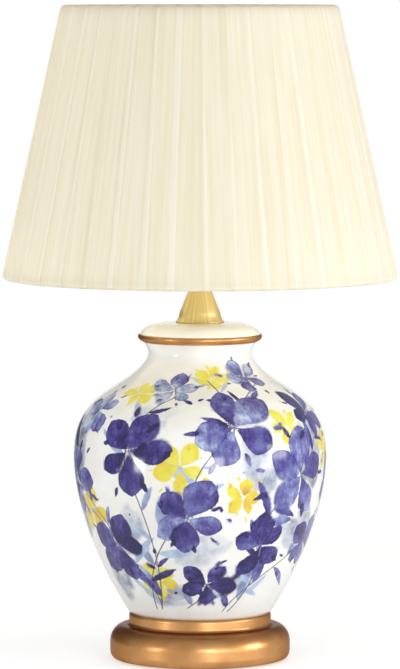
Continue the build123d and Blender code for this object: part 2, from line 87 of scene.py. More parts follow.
# Name, degrees from the front, distance, height, width and height of the panel, watts, and
# whether the panel shows in reflections
LAMPS = [("left_softbox", -55, 1.5, 0.06, 0.22, 0.22, 2.4, True),
         ("front_softbox", 14, 1.7, 0.04, 0.40, 0.46, 7.2, True),
         ("right_softbox", 72, 1.6, 0.36, 0.56, 0.44, 6.2, True),
         ("window_glow", 46, 1.6, 0.08, 1.20, 0.30, 4.4, True),
         ("left_fill", -104, 2.2, 0.45, 1.20, 1.00, 15.0, False),
         ("right_fill", 100, 2.2, 0.20, 1.20, 0.80, 4.0, False)]
LAMP_AIM = (0, 0, 0.22)


class Link:
    """A node's output that can be used in sums with numbers and other links."""

    def __init__(self, paint, socket):
        self.paint = paint
        self.socket = socket

    def math(self, operation, *others):
        return self.paint.math(operation, self, *others)

    def __add__(self, other):
        return self.math("ADD", other)

    def __mul__(self, other):
        return self.math("MULTIPLY", other)

    def __sub__(self, other):
        return self.math("SUBTRACT", other)

    def __rsub__(self, other):
        return self.paint.math("SUBTRACT", other, self)

    __radd__ = __add__
    __rmul__ = __mul__

    def beside(self, output):
        """Another output of the same node."""
        return Link(self.paint, self.socket.node.outputs[output])

    def between(self, first, last):
        """The first number where this link is 0 and the last where it is 1."""
        return self * (last - first) + first

    def step(self, low, high):
        """0 below low, 1 above high and smooth between."""
        return self.paint.node("ShaderNodeMapRange", {"interpolation_type": "SMOOTHSTEP"},
                               {"Value": self, "From Min": low, "From Max": high})

    def mix(self, first, second):
        """The first colour where this link is 0 and the second where it is 1."""
        return self.paint.node("ShaderNodeMix", {"data_type": "RGBA"},
                               {"Factor": self, 6: first, 7: second}, output=2)

    def ramp(self, stops):
        """Colours at their places along this link's value."""
        return self.paint.node("ShaderNodeValToRGB", {"stops": stops}, {0: self})


class Paint:
    """A material's or the world's nodes, added one at a time."""

    def __init__(self, owner):
        self.owner = owner
        owner.use_nodes = True
        self.tree = owner.node_tree
        self.tree.nodes.clear()

    def node(self, kind, settings=None, sockets=None, output=0):
        """Adds a node: first its settings, then the values or links of its sockets."""
        made = self.tree.nodes.new(kind)
        for key, value in (settings or {}).items():
            if key == "stops":
                elements = made.color_ramp.elements
                while len(elements) < len(value):
                    elements.new(0.5)
                for element, (place, colour) in zip(elements, value):
                    element.position = place
                    element.color = colour
            else:
                setattr(made, key, value)
        self.fill(made, sockets or {})
        return Link(self, made.outputs[output]) if len(made.outputs) else None

    def fill(self, made, sockets):
        """Links or sets a node's sockets."""
        for key, value in sockets.items():
            if isinstance(value, Link):
                self.tree.links.new(value.socket, made.inputs[key])
            else:
                made.inputs[key].default_value = value

    def math(self, operation, *values):
        return self.node("ShaderNodeMath", {"operation": operation}, dict(enumerate(values)))

    def noise(self, where, scale, detail=3.0, roughness=0.5):
        return self.node("ShaderNodeTexNoise", {}, {"Vector": where, "Scale": scale,
                                                    "Detail": detail, "Roughness": roughness})

    def bump(self, height, strength, distance):
        return self.node("ShaderNodeBump", {}, {"Height": height, "Strength": strength,
                                                "Distance": distance})

    def stretched(self, where, stretch):
        return self.node("ShaderNodeMapping", {}, {"Vector": where, "Scale": stretch})

    def place(self, stretch=(1, 1, 1)):
        """Object coordinates, stretched along the axes."""
        return self.stretched(self.node("ShaderNodeTexCoord", output=3), stretch)

    def height(self):
        """Metres above the table."""
        return self.node("ShaderNodeSeparateXYZ", {}, {0: self.place()}, output=2)

    def attribute(self, name):
        """A value that the mesh carries at its points."""
        return self.node("ShaderNodeAttribute", {"attribute_name": name}, output=2)


def add_mesh(name, mesh_edit, material):
    """A smooth mesh object made by a function that fills a bmesh."""
    bm = bmesh.new()
    mesh_edit(bm)
    mesh = bpy.data.meshes.new(name)
    bm.to_mesh(mesh)
    bm.free()
    mesh.shade_smooth()
    mesh.materials.append(material)
    made = bpy.data.objects.new(name, mesh)
    scene.collection.objects.link(made)
    return made


def floor_disc(bm):
    bmesh.ops.create_circle(bm, cap_ends=True, segments=FLOOR_ROUNDS, radius=FLOOR_RADIUS,
                            matrix=Matrix.Translation((0, 0, -FLOOR_DROP)))


floor_paint = Paint(bpy.data.materials.new("table_white"))
seen = floor_paint.node("ShaderNodeLightPath")
shown = (seen + seen.beside("Is Glossy Ray") * FLOOR_MIRRORED
         + seen.beside("Is Transmission Ray")).math("MINIMUM", 1.0)
matt = floor_paint.node("ShaderNodeBsdfDiffuse", {}, {"Color": FLOOR_COLOUR})
glow = floor_paint.node("ShaderNodeEmission", {}, {"Color": (1, 1, 1, 1),
                                                   "Strength": shown * FLOOR_GLOW})
both = floor_paint.node("ShaderNodeAddShader", {}, {0: matt, 1: glow})
floor_paint.node("ShaderNodeOutputMaterial", {}, {"Surface": both})
floor = add_mesh("table_top", floor_disc, floor_paint.owner)

world = bpy.data.worlds.new("room")
scene.world = world
room = Paint(world)
side = room.node("ShaderNodeSeparateXYZ", {}, {0: room.node("ShaderNodeTexCoord")})
depth = side.beside(1)
path = room.node("ShaderNodeLightPath")
mirrored = path.beside("Is Glossy Ray")
back_mirrored = side.step(*ROOM_BACK_SIDES).between(*ROOM_BACK_MIRRORED)
back = mirrored.between(ROOM_BACK, back_mirrored)
front = side.step(*ROOM_FRONT_SIDES).between(*ROOM_FRONT)
level = (1 - depth.step(*ROOM_DEPTH)).between(back, front)
seen_world = (path + path.beside("Is Transmission Ray")).math("MINIMUM", 1.0)
white = seen_world.math("MAXIMUM", mirrored * depth.step(*BACKGROUND_DEPTH))
strength = white + (1 - white) * level
backdrop = room.node("ShaderNodeBackground", {}, {"Color": (1, 1, 1, 1), "Strength": strength})
room.node("ShaderNodeOutputWorld", {}, {"Surface": backdrop})

for name, azimuth, away, height, wide, high, power, glossy_too in LAMPS:
    lamp = bpy.data.lights.new(name, "AREA")
    lamp.shape = "RECTANGLE"
    lamp.size = wide
    lamp.size_y = high
    lamp.energy = power
    box = bpy.data.objects.new(name, lamp)
    turn = math.radians(azimuth)
    box.location = (away * math.sin(turn), -away * math.cos(turn), height)
    box.visible_glossy = glossy_too
    aim = Vector(LAMP_AIM) - box.location
    box.rotation_euler = aim.to_track_quat("-Z", "Y").to_euler()
    scene.collection.objects.link(box)


# The base is turned from one piece of wood in two steps, filled and sprayed with a satin
# bronze-gold paint. The felt under it is glued on, and a plastic bush lines the cord's hole.
# How deep the painted shade is on the foot's top, where it meets the upper step
STEP_SHADE_DEPTH = 0.7
# Heights between which the painted shade darkens towards the upper step, and fades again above it
STEP_DARKENS = (0.0230, 0.0345)
STEP_LIGHTENS = (0.0355, 0.0385)


def srgb(red, green, blue):
    """A colour written as it looks on a screen, 0 to 255, as the shader needs it."""
    return tuple(((c / 255 + 0.055) / 1.055) ** 2.4 if c > 10 else c / 255 / 12.92
                 for c in (red, green, blue)) + (1,)


GILT = srgb(216, 162, 104)
GILT_DULL = srgb(198, 142, 86)
# The gilt in painted shade, mixed in on the foot's top below the upper step
GILT_IN_SHADE = srgb(134, 78, 40)
GILT_EDGE = srgb(156, 126, 88)


class Finish(Paint):
    """A material with its Principled shader. A sheer one lets a share of the light through."""

    def __init__(self, name, sheer_share=0.0, sheer_colour=(1, 1, 1, 1)):
        super().__init__(bpy.data.materials.new(name))
        self.shader = self.node("ShaderNodeBsdfPrincipled")
        surface = self.shader
        if sheer_share:
            sheer = self.node("ShaderNodeBsdfTranslucent", {}, {"Color": sheer_colour})
            surface = self.node("ShaderNodeMixShader", {}, {0: sheer_share, 1: surface, 2: sheer})
        self.node("ShaderNodeOutputMaterial", {}, {"Surface": surface})

    def finished(self, sockets):
        """Fills the sockets of the Principled shader and returns the material."""
        self.fill(self.shader.socket.node, sockets)
        return self.owner


def plain_finish(name, colours, scale, detail, rough, raised=None, stretch=(1, 1, 1), sheer=(),
                 others=None):
    """A finish with one unevenness of its own. It mixes the colours where there are two, makes
    the surface more or less dull where a range is given, and is raised by a strength and a
    distance where these are given."""
    paint = Finish(name, *sheer)
    grain = paint.noise(paint.place(stretch), scale, detail)
    sockets = {"Base Color": grain.mix(*colours) if len(colours) == 2 else colours[0],
               "Roughness": grain.between(*rough) if isinstance(rough, tuple) else rough}
    if raised:
        sockets["Normal"] = paint.bump(grain, *raised)
    return paint.finished({**sockets, **(others or {})})


def moulded_plastic(name, colour, rough):
    """Moulded plastic with the faint unevenness of its mould."""
    return plain_finish(name, [colour], 900.0, 2.0, (rough, rough + 0.12), raised=(0.08, 0.0002))


def gilt_paint():
    """Bronze-gold paint: fine metal flakes, a little uneven, with painted shade on the foot's top
    below the upper step, and coated."""
    paint = Finish("gilt_wood")
    where = paint.place()
    cloudy = paint.noise(where, 38.0, 4.0).step(0.30, 0.72)
    flakes = paint.noise(where, 2600.0, 1.0) + paint.noise(where, 160.0, 2.0) * 2.0
    height = paint.height()
    # Painted shade: the gilt is darkened on the foot's top below the upper step
    step_shade = height.step(*STEP_DARKENS) * (1 - height.step(*STEP_LIGHTENS)) * STEP_SHADE_DEPTH
    return paint.finished({
        "Base Color": step_shade.mix(cloudy.mix(GILT_DULL, GILT), GILT_IN_SHADE),
        "Metallic": 0.95, "Roughness": paint.noise(where, 90.0, 3.0).between(0.25, 0.41),
        "Normal": paint.bump(flakes, 0.10, 0.0003), "Specular Tint": GILT_EDGE,
        "Coat Weight": 0.30, "Coat Roughness": 0.12})


def dress(material, *names):
    """Gives a material to CAD nodes whose shape is right."""
    for name in names:
        mesh = nodes[name].data
        mesh.materials.clear()
        mesh.materials.append(material)


gilt = gilt_paint()
felt = plain_finish("felt", [srgb(38, 52, 40), srgb(74, 92, 74)], 1400.0, 4.0, 0.95,
                    raised=(0.5, 0.0004))
ivory = moulded_plastic("ivory_plastic", srgb(236, 229, 208), 0.30)
dress(gilt, "base_plinth")
dress(felt, "felt_pad")
dress(ivory, "cord_inlet_bush")


# The jar is cast in porcelain, painted with a brush and fired again under a clear glaze. Its
# outline is one smooth curve from the foot ring over the belly and the shoulder to the mouth.
JAR_ROUNDS = 456
JAR_ROWS = 176
JAR_WALL = 0.005
JAR_FOOT_RADIUS = 0.0718
JAR_FOOT_RING = 0.014
JAR_UNDERSIDE = 0.003
JAR_FOOT_EDGE = 0.0012
JAR_OUTLINE_SHARES = [(0.7224, 0.1309), (0.8835, 0.3055), (1.0, 0.5745), (0.9695, 0.6873),
                      (0.8280, 0.7855), (0.6120, 0.8553), (0.4504, 0.9185), (0.4081, 0.9564)]
JAR_MOUTH_RADIUS = 0.057
JAR_FLOOR_HEIGHT = 0.012
JAR_HOLE_RADIUS = 0.006
# The inside follows every fourteenth row of the outside, from below the mouth down
JAR_INSIDE_ROWS = slice(-4, 6, -14)
JAR_INSIDE_LEAST = 0.03
MERGE_DISTANCE = 1e-6


def measures(name):
    """A round CAD node's lowest height, highest height and widest radius."""
    low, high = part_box(name)
    return low[2], high[2], (high[0] - low[0]) / 2


def spun(outline, rounds):
    """A function that fills a bmesh with a closed outline of radius and height, spun about the
    axis."""
    def fill(bm):
        points = [bm.verts.new((r, 0, z)) for r, z in outline]
        edges = [bm.edges.new(pair) for pair in zip(points, points[1:] + points[:1])]
        bmesh.ops.spin(bm, geom=points + edges, axis=(0, 0, 1), cent=(0, 0, 0),
                       angle=2 * math.pi, steps=rounds, use_merge=True)
        bmesh.ops.remove_doubles(bm, verts=bm.verts[:], dist=MERGE_DISTANCE)
        bmesh.ops.recalc_face_normals(bm, faces=bm.faces[:])
    return fill


def smooth_curve(points, count):
    """Points at even steps along the natural cubic curve through a few points."""
    knots = np.array(points)
    along = np.concatenate([[0], np.cumsum(np.hypot(*np.diff(knots, axis=0).T))])
    gaps = np.diff(along)
    slopes = np.diff(knots, axis=0) / gaps[:, None]
    size = len(knots)
    matrix = np.eye(size)
    right = np.zeros((size, 2))
    for i in range(1, size - 1):
        matrix[i, i - 1:i + 2] = gaps[i - 1], 2 * (gaps[i - 1] + gaps[i]), gaps[i]
        right[i] = 6 * (slopes[i] - slopes[i - 1])
    bend = np.linalg.solve(matrix, right)
    curve = []
    for place in np.linspace(0, along[-1], count):
        i = min(int(np.searchsorted(along, place, side="right")) - 1, size - 2)
        a, b = (along[i + 1] - place) / gaps[i], (place - along[i]) / gaps[i]
        bow = ((a ** 3 - a) * bend[i] + (b ** 3 - b) * bend[i + 1]) * gaps[i] ** 2 / 6
        point = a * knots[i] + b * knots[i + 1] + bow
        curve.append((float(point[0]), float(point[1])))
    return curve


jar_low, jar_high, jar_belly = measures("jar")
jar_side = smooth_curve(
    [(JAR_FOOT_RADIUS, jar_low)]
    + [(jar_belly * r, jar_low + (jar_high - jar_low) * z) for r, z in JAR_OUTLINE_SHARES]
    + [(JAR_MOUTH_RADIUS, jar_high)], JAR_ROWS)
jar_outline = (
    [(JAR_FOOT_RADIUS - JAR_FOOT_RING, jar_low + JAR_UNDERSIDE),
     (JAR_FOOT_RADIUS - JAR_FOOT_RING, jar_low),
     (JAR_FOOT_RADIUS - JAR_FOOT_EDGE, jar_low), (JAR_FOOT_RADIUS, jar_low + JAR_FOOT_EDGE)]
    + jar_side[1:]
    + [(JAR_MOUTH_RADIUS - JAR_WALL, jar_high),
       (JAR_MOUTH_RADIUS - 2 * JAR_WALL, jar_high - JAR_WALL / 2)]
    + [(max(r - JAR_WALL, JAR_INSIDE_LEAST), z) for r, z in jar_side[JAR_INSIDE_ROWS]]
    + [(JAR_HOLE_RADIUS, jar_low + JAR_FLOOR_HEIGHT), (JAR_HOLE_RADIUS, jar_low + JAR_UNDERSIDE)]
)


# The flowers are painted freely: open five-petalled blossoms in violet and indigo, a few in
# yellow, over loose grey-blue washes, with leaves, buds and thin ink stems. Each stroke is
# worked out on the jar's points as a distance to its edge in millimetres, and the glaze's
# colours are mixed from those distances.
INDIGO, VIOLET, SKY = 0.86, 0.62, 0.34
# Degrees from the front, height and width in millimetres, depth of colour, turn in degrees
BLUE_BLOSSOMS = [
    (-34, 222, 84, INDIGO, 20), (16, 246, 86, VIOLET, 50), (52, 196, 86, VIOLET, 5),
    (-6, 156, 78, VIOLET, 35), (33, 126, 66, INDIGO, 62), (-47, 124, 66, INDIGO, 12),
    (68, 256, 60, INDIGO, 40), (-76, 190, 70, VIOLET, 28), (-17, 280, 48, SKY, 8),
    (41, 290, 44, VIOLET, 55), (70, 124, 58, INDIGO, 18), (-64, 258, 56, SKY, 60),
    (4, 88, 54, INDIGO, 25), (88, 178, 64, VIOLET, 44),
]
YELLOW_BLOSSOMS = [
    (-9, 208, 50, 0.55, 30), (-62, 156, 54, 0.75, 15), (46, 244, 42, 0.45, 48),
    (20, 176, 40, 0.80, 10), (-26, 90, 40, 0.60, 40), (10, 291, 34, 0.30, 20),
    (76, 216, 42, 0.70, 5), (-42, 276, 38, 0.45, 52),
]
# Loose washes: degrees from the front, height, width, depth of colour, lean in degrees
WASHES = [
    (-72, 236, 92, 0.95, 20), (-84, 168, 80, 0.90, -10), (-22, 252, 56, 0.25, 60),
    (30, 214, 74, 0.40, -30), (64, 222, 88, 0.85, 15), (6, 128, 60, 0.35, 75),
    (-36, 150, 54, 0.30, 10), (54, 150, 66, 0.70, -20), (-14, 76, 48, 0.30, 80),
    (26, 96, 46, 0.45, 50), (82, 130, 60, 0.55, 0), (-58, 92, 50, 0.50, -25),
]
# Degrees and height of each end, and how far the middle bows sideways in millimetres
STEMS = [
    (-30, 60, -36, 205, 16), (-30, 60, -10, 150, -12), (-8, 62, 4, 88, 5),
    (22, 58, 32, 122, 8), (-2, 150, 14, 238, -18), (32, 122, 50, 190, -14),
    (50, 190, 66, 252, 10), (14, 240, 8, 288, 7), (-36, 205, -18, 274, -12),
    (-30, 60, -48, 124, 10), (-48, 124, -74, 186, 12), (-74, 186, -62, 254, -12),
    (22, 58, 68, 122, -16), (68, 122, 88, 176, 10), (14, 238, 40, 284, -8),
    (-62, 156, -48, 124, 6),
]
# The back is painted with the same plan, half a turn round and a little lower
BACK_TURN = 180
BACK_RISE = -6
FIELD_LIMIT = 14.0
STROKE_FULLNESS = 0.75
STROKE_OVERLAP = 0.8
STROKE_SIDE_SHADE = 0.14
BLOSSOM_ROOM = 0.8
BELLY_RADIUS = 120
# The ranges in the next lines are what the brush draws at random.
# Petals: turn in radians, length as a share of half the blossom's width, and width and bend as
# shares of that length
PETALS = 5
PETAL_TURN = (-0.18, 0.18)
PETAL_LENGTH = (0.84, 1.16)
PETAL_WIDE = 0.62
PETAL_FULLNESS = (0.9, 1.35)
PETAL_TONE = (-0.26, 0.16)
PETAL_FADE = (-0.5, 0.7)
PETAL_WIDEST = (1.1, 1.7)
PETAL_BEND = (-0.16, 0.16)
HEART = 0.025
# Dabs across the petals: degrees that they stand ahead, turn in radians, and length, width and
# start as shares of the blossom's width
DABS = 7
DABS_AHEAD = 36
DAB_TURN = (-0.4, 0.4)
DAB_LENGTH = (0.08, 0.22)
DAB_WIDE = (0.04, 0.08)
DAB_TONE = (-0.1, 0.3)
DAB_START = (0.30, 0.56)
# Stamens: reach as a share of the blossom's width, and bow in millimetres
STAMENS = 4
STAMEN_REACH = (0.12, 0.24)
STAMEN_BOW = (-2, 2)
STAMEN_PARTS = 4
# Stems: the room about one and how far from it counts as near, in millimetres
STEM_PARTS = 40
STEM_ROOM = 50
STEM_NEAR = 6
# Leaves: turn in radians, length in millimetres, and width and bend as shares of that length
LEAVES = 5
LEAF_SPOT = (0.5, 1.2)
LEAF_TURN = (0.5, 1.2)
LEAF_LENGTH = (18, 44)
LEAF_WIDE = (0.18, 0.34)
LEAF_FADE = (0, 0.7)
LEAF_WIDEST = (0.75, 1.0)
LEAF_BEND = (-0.3, 0.3)
LEAF_WASHED_SHARE = 0.6
LEAF_WASHED_TONE = (0.2, 0.9)
LEAF_BLUE_TONE = (0.3, 0.95)
# Washes: lean in degrees, length and width as shares of the wash's width, and shift in
# millimetres
WASH_STROKES = 3
WASH_LEAN = (-40, 40)
WASH_LENGTH = (0.6, 1.0)
WASH_WIDE = (0.3, 0.5)
WASH_TONE = (-0.2, 0.2)
WASH_SHIFT = (-12, 12)
# Splashes: side in degrees, height, room and width in millimetres, turn in radians, and length
# as a share of the width
SPLASHES = 90
SPLASH_SIDE = (-180, 180)
SPLASH_HEIGHT = (70, 290)
SPLASH_ROOM = 12
SPLASH_WIDE = (1.2, 4.5)
SPLASH_TURN = (0, 6.3)
SPLASH_LENGTH = (1, 2)
SPLASH_TONE = (0.3, 0.95)


def stroke_distance(x, y, length, wide, widest, bend):
    """Millimetres inside a brush stroke that runs up y from 0: positive inside, negative
    outside."""
    along = np.clip(y / length, 0.0, 1.0)
    half = wide / 2 * np.sin(math.pi * along ** widest) ** STROKE_FULLNESS
    return half - np.abs(x - bend * along * along) - np.abs(y - along * length)


class Painting:
    """The painted layers on the jar's points, each a distance and a depth of colour."""

    def __init__(self, points):
        self.side = np.degrees(np.arctan2(points[:, 0], -points[:, 1]))
        self.radius = np.hypot(points[:, 0], points[:, 1]) * 1000
        self.climb_r, self.climb_z = np.array(jar_side).T * 1000
        steps = np.hypot(np.diff(self.climb_r), np.diff(self.climb_z))
        self.climb = np.concatenate([[0], np.cumsum(steps)])
        self.length = self.climbed(points[:, 2] * 1000)
        self.layers = {name: np.full(len(points), -FIELD_LIMIT)
                       for name in ("blue", "petal", "yellow", "wash", "cloud")}
        for name in ("blue_tone", "yellow_tone", "wash_tone", "cloud_tone", "stem_near"):
            self.layers[name] = np.zeros(len(points))
        self.layers["stem"] = np.full(len(points), FIELD_LIMIT)

    def climbed(self, height):
        """How far up the jar's side a height is, along its outline."""
        return np.interp(height, self.climb_z, self.climb)

    def near(self, side, height, reach):
        """Which points lie near a place, and where they lie about it, in millimetres across
        and up."""
        across = np.radians((self.side - side + 180) % 360 - 180) * self.radius
        up = self.length - self.climbed(height)
        close = np.nonzero((np.abs(across) < reach) & (np.abs(up) < reach))[0]
        return close, across[close], up[close]

    def stroke(self, layer, around, turn, length, wide, tone, fade=0.3, widest=0.8, bend=0.0,
               start=0.0, at=(0, 0)):
        """Adds one brush stroke that leaves a place at an angle from upwards and fades along
        its way."""
        close, x, y = around
        x, y = x - at[0], y - at[1]
        c, s = math.cos(turn), math.sin(turn)
        across, along = x * c - y * s, x * s + y * c - start
        inside = stroke_distance(across, along, length, wide, widest, bend)
        field, tones = self.layers[layer], self.layers[layer + "_tone"]
        on_top = inside > -STROKE_OVERLAP
        field[close] = np.maximum(field[close], np.clip(inside, -FIELD_LIMIT, FIELD_LIMIT))
        if layer == "blue":
            petal = self.layers["petal"]
            petal[close] = np.where(on_top, inside, petal[close])
        shade = (tone + fade * (0.5 - np.clip(along / length, 0, 1))
                 + STROKE_SIDE_SHADE * across / max(wide, 1.0))
        tones[close] = np.where(on_top, shade, tones[close])

    def blossom(self, layer, side, height, wide, tone, turn):
        """Petals one over the other about a heart, and short darker dabs across them."""
        around = self.near(side, height, wide * BLOSSOM_ROOM)
        order = list(range(PETALS))
        brush.shuffle(order)
        for i in order:
            angle = math.radians(turn) + 2 * math.pi * i / PETALS + brush.uniform(*PETAL_TURN)
            length = wide / 2 * brush.uniform(*PETAL_LENGTH)
            self.stroke(layer, around, angle, length,
                        length * PETAL_WIDE * brush.uniform(*PETAL_FULLNESS),
                        tone + brush.uniform(*PETAL_TONE), fade=brush.uniform(*PETAL_FADE),
                        widest=brush.uniform(*PETAL_WIDEST),
                        bend=brush.uniform(*PETAL_BEND) * length, start=wide * HEART)
        for i in range(DABS):
            angle = (math.radians(turn + DABS_AHEAD) + 2 * math.pi * i / DABS
                     + brush.uniform(*DAB_TURN))
            self.stroke(layer, around, angle, wide * brush.uniform(*DAB_LENGTH),
                        wide * brush.uniform(*DAB_WIDE), tone + brush.uniform(*DAB_TONE),
                        start=wide * brush.uniform(*DAB_START))

    def line(self, side_a, height_a, side_b, height_b, bow, parts=STEM_PARTS):
        """One thin ink line between two places, bowed to a side. Returns its points and what is
        around it."""
        side, height = (side_a + side_b) / 2, (height_a + height_b) / 2
        low, middle, top = self.climbed(height_a), self.climbed(height), self.climbed(height_b)
        radius = float(np.interp(height, self.climb_z, self.climb_r))
        half = math.radians(side_b - side_a) / 2 * radius
        around = self.near(side, height, abs(top - low) / 2 + abs(half) + abs(bow) + STEM_ROOM)
        close, x, y = around
        points = [((2 * t - 1) * half + bow * 4 * t * (1 - t), low - middle + (top - low) * t)
                  for t in (i / parts for i in range(parts + 1))]
        best, signed = np.full(len(close), 1e9), np.full(len(close), FIELD_LIMIT)
        for (ax, ay), (bx, by) in zip(points[:-1], points[1:]):
            dx, dy = bx - ax, by - ay
            t = np.clip(((x - ax) * dx + (y - ay) * dy) / (dx * dx + dy * dy), 0, 1)
            gap = np.hypot(x - ax - t * dx, y - ay - t * dy)
            nearer = gap < best
            best = np.where(nearer, gap, best)
            signed = np.where(nearer, gap * np.sign((x - ax) * dy - (y - ay) * dx), signed)
        stem, reach = self.layers["stem"], self.layers["stem_near"]
        stem[close] = np.where(best < np.abs(stem[close]), signed, stem[close])
        reach[close] = np.maximum(reach[close], np.clip(1 - best / STEM_NEAR, 0, 1))
        return points, around

    def leaves(self, points, around):
        """Washed leaves and small buds along a stem, on its two sides by turns."""
        for i in range(LEAVES):
            along = (i + brush.uniform(*LEAF_SPOT)) / (LEAVES + 0.6)
            spot = min(int(along * (len(points) - 1)), len(points) - 2)
            (ax, ay), (bx, by) = points[spot:spot + 2]
            angle = (math.atan2(bx - ax, by - ay)
                     + (1 if i % 2 else -1) * brush.uniform(*LEAF_TURN))
            length = brush.uniform(*LEAF_LENGTH)
            if brush.random() < LEAF_WASHED_SHARE:
                layer, tone = "wash", brush.uniform(*LEAF_WASHED_TONE)
            else:
                layer, tone = "blue", brush.uniform(*LEAF_BLUE_TONE)
            self.stroke(layer, around, angle, length, length * brush.uniform(*LEAF_WIDE), tone,
                        fade=brush.uniform(*LEAF_FADE), widest=brush.uniform(*LEAF_WIDEST),
                        bend=brush.uniform(*LEAF_BEND) * length, at=(ax, ay))

    def stamens(self, side, height, wide):
        """Thin ink lines from a blossom's heart."""
        for i in range(STAMENS):
            angle = brush.uniform(0, 2 * math.pi)
            reach = wide * brush.uniform(*STAMEN_REACH)
            end = side + math.degrees(reach * math.sin(angle) / BELLY_RADIUS)
            self.line(side, height, end, height + reach * math.cos(angle),
                      brush.uniform(*STAMEN_BOW), parts=STAMEN_PARTS)

    def wash(self, side, height, wide, tone, lean):
        """Broad wet strokes over one another."""
        spot = self.near(side, height, wide)
        for i in range(WASH_STROKES):
            self.stroke("cloud", spot, math.radians(lean + brush.uniform(*WASH_LEAN)),
                        wide * brush.uniform(*WASH_LENGTH), wide * brush.uniform(*WASH_WIDE),
                        tone + brush.uniform(*WASH_TONE), fade=0.5, widest=0.9, start=-wide / 2,
                        at=(brush.uniform(*WASH_SHIFT), brush.uniform(*WASH_SHIFT)))


brush = random.Random(7)
jar = add_mesh("painted_jar", spun(jar_outline, JAR_ROUNDS), None)
jar_xyz = np.empty(len(jar.data.vertices) * 3)
jar.data.vertices.foreach_get("co", jar_xyz)
painting = Painting(jar_xyz.reshape(-1, 3))
for around, lift in ((0, 0), (BACK_TURN, BACK_RISE)):
    for side, height, wide, tone, lean in WASHES:
        painting.wash(side + around, height + lift, wide, tone, lean)
    for side_a, height_a, side_b, height_b, bow in STEMS:
        painting.leaves(*painting.line(side_a + around, height_a, side_b + around,
                                       height_b + lift, bow))
    for side, height, wide, tone, turn in YELLOW_BLOSSOMS:
        painting.blossom("yellow", side + around, height + lift, wide, tone, turn + around / 7)
    for side, height, wide, tone, turn in BLUE_BLOSSOMS:
        painting.blossom("blue", side + around, height + lift, wide, tone, turn + around / 7)
        painting.stamens(side + around, height + lift, wide)
for i in range(SPLASHES):
    spot = painting.near(brush.uniform(*SPLASH_SIDE), brush.uniform(*SPLASH_HEIGHT), SPLASH_ROOM)
    wide = brush.uniform(*SPLASH_WIDE)
    painting.stroke("blue", spot, brush.uniform(*SPLASH_TURN),
                    wide * brush.uniform(*SPLASH_LENGTH), wide, brush.uniform(*SPLASH_TONE))
for name, values in painting.layers.items():
    attribute = jar.data.attributes.new(name, "FLOAT", "POINT")
    attribute.data.foreach_set("value", values.astype(np.float32))

CLOUD_COLOURS = [(0.0, srgb(216, 222, 228)), (0.35, srgb(170, 180, 198)),
                 (0.65, srgb(124, 132, 158)), (1.0, srgb(92, 95, 120))]
WASH_COLOURS = [(0.0, srgb(206, 220, 234)), (0.35, srgb(158, 182, 218)),
                (0.7, srgb(112, 128, 184)), (1.0, srgb(90, 92, 150))]
YELLOW_COLOURS = [(0.0, srgb(242, 236, 112)), (0.4, srgb(232, 220, 48)),
                  (0.75, srgb(224, 186, 28)), (1.0, srgb(184, 144, 38))]
BLUE_COLOURS = [(0.0, srgb(198, 208, 226)), (0.20, srgb(150, 164, 204)),
                (0.40, srgb(112, 114, 174)), (0.60, srgb(84, 77, 148)),
                (0.80, srgb(60, 51, 126)), (1.0, srgb(36, 31, 84))]
INK = srgb(62, 60, 104)
GLAZE_GREY, GLAZE_WHITE = srgb(240, 239, 234), srgb(246, 246, 243)


def glazed_porcelain():
    """White glaze over the painting: each colour pools at its edges, thins out inside and runs
    softly where the brush was wet."""
    paint = Finish("painted_porcelain")
    where = paint.place()
    ragged = (paint.noise(where, 260.0, 4.0, 0.62) - 0.5) * 4.4
    wander = (paint.noise(where, 60.0, 2.0) - 0.5) * 4.0
    mottle = paint.noise(where, 75.0, 4.0, 0.6) - 0.5
    grain = paint.noise(where, 520.0, 3.0, 0.6) - 0.5
    streak = paint.noise(paint.place((1, 1, 0.16)), 260.0, 3.0, 0.6) - 0.5
    wet = paint.noise(where, 26.0, 2.0).step(0.50, 0.62)

    def edge(value, crisp, soft):
        """A layer's share: crisp where the brush was dry and soft where it was wet."""
        return value.step(*crisp) * (1 - wet) + value.step(*soft) * wet

    colour = paint.noise(where, 40.0, 3.0).step(0.32, 0.70).mix(GLAZE_GREY, GLAZE_WHITE)
    cloud = paint.attribute("cloud") + ragged + wander * 2
    cloud_share = (cloud.step(-5.0, 6.0) * (mottle * 1.3 + 0.78)).math("MINIMUM", 0.92)
    cloud_tone = paint.attribute("cloud_tone") * 0.8 + mottle * 0.9
    colour = cloud_share.mix(colour, cloud_tone.ramp(CLOUD_COLOURS))
    wash = paint.attribute("wash") + ragged * 0.6 + wander * 0.8
    wash_tone = paint.attribute("wash_tone") * 0.6 + mottle * 0.9 + grain * 0.3 + 0.12
    colour = (wash.step(-0.8, 1.2) * 0.85).mix(colour, wash_tone.ramp(WASH_COLOURS))
    yellow = paint.attribute("yellow") + ragged * 0.6 + wander * 0.6
    yellow_tone = paint.attribute("yellow_tone") * 0.7 + mottle * 0.9 + grain * 0.3 + 0.05
    yellow_share = edge(yellow, (-0.6, 0.8), (-3.0, 2.0)) * 0.94
    colour = yellow_share.mix(colour, yellow_tone.ramp(YELLOW_COLOURS))
    ink = paint.attribute("stem").math("ABSOLUTE") + ragged * 0.14
    ink_share = (1 - ink.step(0.40, 0.95)) * paint.attribute("stem_near").step(0.55, 0.75) * 0.85
    colour = ink_share.mix(colour, INK)
    blue = paint.attribute("blue") + ragged * 0.6 + wander * 0.4
    pooled = 1 - paint.attribute("petal").step(-0.2, 2.4)
    blue_tone = (paint.attribute("blue_tone") + mottle * 1.15 + grain * 0.35 + streak * 0.5
                 + pooled * 0.16 - wet * 0.10)
    blue_share = edge(blue, (-0.5, 0.7), (-4.0, 2.2))
    colour = blue_share.mix(colour, blue_tone.ramp(BLUE_COLOURS))
    ripple = paint.noise(where, 24.0, 2.0)
    return paint.finished({"Base Color": colour, "Roughness": 0.13, "IOR": 1.52,
                           "Normal": paint.bump(ripple, 0.08, 0.0010)})


jar.data.materials[0] = glazed_porcelain()
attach(jar, "lamp")
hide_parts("jar")


